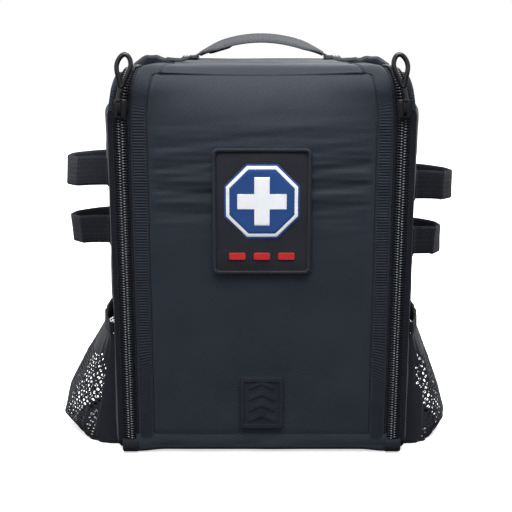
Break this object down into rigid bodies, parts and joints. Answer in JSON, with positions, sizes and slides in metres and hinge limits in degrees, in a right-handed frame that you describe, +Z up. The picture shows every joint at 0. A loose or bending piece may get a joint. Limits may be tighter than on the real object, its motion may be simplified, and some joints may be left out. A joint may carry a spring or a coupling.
{
  "type": "medic rucksack",
  "caption": "Compact soft medic rucksack with a drop-down zipped front panel, a removable cross patch, side webbing loops, mesh side pockets, grab handle and padded shoulder straps.",
  "frame": {"origin": "centre of the flat base, on the ground", "axes": "+Z up, front panel faces -Y, +X to the right seen from the front"},
  "size_m": [0.352, 0.1749, 0.3504],
  "materials": {
    "shell_fabric": "dark navy coated nylon, satin",
    "stiffener_plastic": "black sheet, matt",
    "pad_fabric": "spacer mesh over foam",
    "lining_mesh": "dark nylon lining",
    "zip_tape": "woven tape, matt",
    "zip_coil": "black coil, glossy",
    "webbing": "woven webbing, matt",
    "handle_webbing": "woven webbing, worn grey",
    "pocket_mesh": "round-hole stretch mesh",
    "binding": "elastic binding",
    "foam": "closed-cell foam in lining",
    "ribbed_strip": "ribbed grosgrain",
    "hook_loop": "loop side of hook-and-loop",
    "badge_rubber": "moulded rubber, matt",
    "patch_fabric": "embroidered twill",
    "patch_border": "merrowed thread edge",
    "patch_emblem": "blue and white satin stitch",
    "slider_metal": "gloss black lacquer",
    "pull_rubber": "moulded pull ring, gloss black",
    "buckle_plastic": "acetal, matt black"
  },
  "bodies": {
    "pack_body": {"back_panel": "shell_fabric", "bottom_panel": "shell_fabric", "top_panel": "shell_fabric", "side_panel_left": "shell_fabric", "side_panel_right": "shell_fabric", "frame_sheet": "stiffener_plastic", "base_board": "stiffener_plastic", "back_pad_left": "pad_fabric", "back_pad_right": "pad_fabric", "back_pocket": "lining_mesh", "outer_tape_left": "zip_tape", "outer_tape_right": "zip_tape", "outer_coil_left": "zip_coil", "outer_coil_right": "zip_coil", "zip_tab_lower_left": "zip_tape", "zip_tab_lower_right": "zip_tape", "zip_tab_upper_left": "zip_tape", "zip_tab_upper_right": "zip_tape", "loop_upper_left": "webbing", "loop_lower_left": "webbing", "loop_upper_right": "webbing", "loop_lower_right": "webbing", "mesh_pocket_left": "pocket_mesh", "mesh_pocket_right": "pocket_mesh", "pocket_binding_left": "binding", "pocket_binding_right": "binding", "handle_anchor_left": "webbing", "handle_anchor_right": "webbing", "strap_yoke": "webbing", "strap_wing_left": "webbing", "strap_wing_right": "webbing", "strap_webbing_left": "webbing", "strap_webbing_right": "webbing"},
    "front_panel_body": {"front_panel": "shell_fabric", "panel_stiffener": "foam", "edge_strip_left": "ribbed_strip", "edge_strip_right": "ribbed_strip", "inner_tape_left": "zip_tape", "inner_tape_right": "zip_tape", "inner_coil_left": "zip_coil", "inner_coil_right": "zip_coil", "loop_field": "hook_loop", "badge": "badge_rubber", "door_pocket": "lining_mesh"},
    "patch_body": {"patch_face": "patch_fabric", "patch_border": "patch_border", "patch_emblem": "patch_emblem"},
    "zip_slider_left": {"slider_left": "slider_metal"},
    "zip_slider_right": {"slider_right": "slider_metal"},
    "zip_pull_left": {"pull_left": "pull_rubber"},
    "zip_pull_right": {"pull_right": "pull_rubber"},
    "grab_handle_body": {"grab_handle": "handle_webbing"},
    "shoulder_strap_left_body": {"shoulder_strap_left": "pad_fabric", "ladder_lock_left": "buckle_plastic", "strap_tail_left": "webbing"},
    "shoulder_strap_right_body": {"shoulder_strap_right": "pad_fabric", "ladder_lock_right": "buckle_plastic", "strap_tail_right": "webbing"}
  },
  "joints": [
    {"name": "front_panel_swing", "type": "hinge", "parent": "pack_body", "child": "front_panel_body", "pos_m": [0, -0.0725, 0.011], "axis": [1, 0, 0], "range_deg": [0, 90]},
    {"name": "zip_slider_left_slide", "type": "slide", "parent": "pack_body", "child": "zip_slider_left", "axis": [0, 0, -1], "range_m": [0, 0.25]},
    {"name": "zip_pull_left_swing", "type": "hinge", "parent": "zip_slider_left", "child": "zip_pull_left", "pos_m": [-0.1125, -0.0784, 0.302], "axis": [1, 0, 0], "range_deg": [0, 165]},
    {"name": "zip_slider_right_slide", "type": "slide", "parent": "pack_body", "child": "zip_slider_right", "axis": [0, 0, -1], "range_m": [0, 0.25]},
    {"name": "zip_pull_right_swing", "type": "hinge", "parent": "zip_slider_right", "child": "zip_pull_right", "pos_m": [0.1125, -0.0784, 0.302], "axis": [1, 0, 0], "range_deg": [0, 165]},
    {"name": "patch_pull_off", "type": "slide", "parent": "front_panel_body", "child": "patch_body", "axis": [0, -1, 0], "range_m": [0, 0.04]},
    {"name": "grab_handle_tilt", "type": "hinge", "parent": "pack_body", "child": "grab_handle_body", "pos_m": [0, 0.05, 0.3312], "axis": [1, 0, 0], "range_deg": [-50, 20]},
    {"name": "shoulder_strap_left_swing", "type": "hinge", "parent": "pack_body", "child": "shoulder_strap_left_body", "pos_m": [-0.052, 0.079, 0.298], "axis": [1, 0, 0], "range_deg": [0, 20]},
    {"name": "shoulder_strap_right_swing", "type": "hinge", "parent": "pack_body", "child": "shoulder_strap_right_body", "pos_m": [0.052, 0.079, 0.298], "axis": [1, 0, 0], "range_deg": [0, 20]}
  ],
  "couplings": [
    {"joint": "zip_slider_left_slide", "follows": "front_panel_swing", "m_per_rad": 0.159},
    {"joint": "zip_slider_right_slide", "follows": "front_panel_swing", "m_per_rad": 0.159}
  ]
}
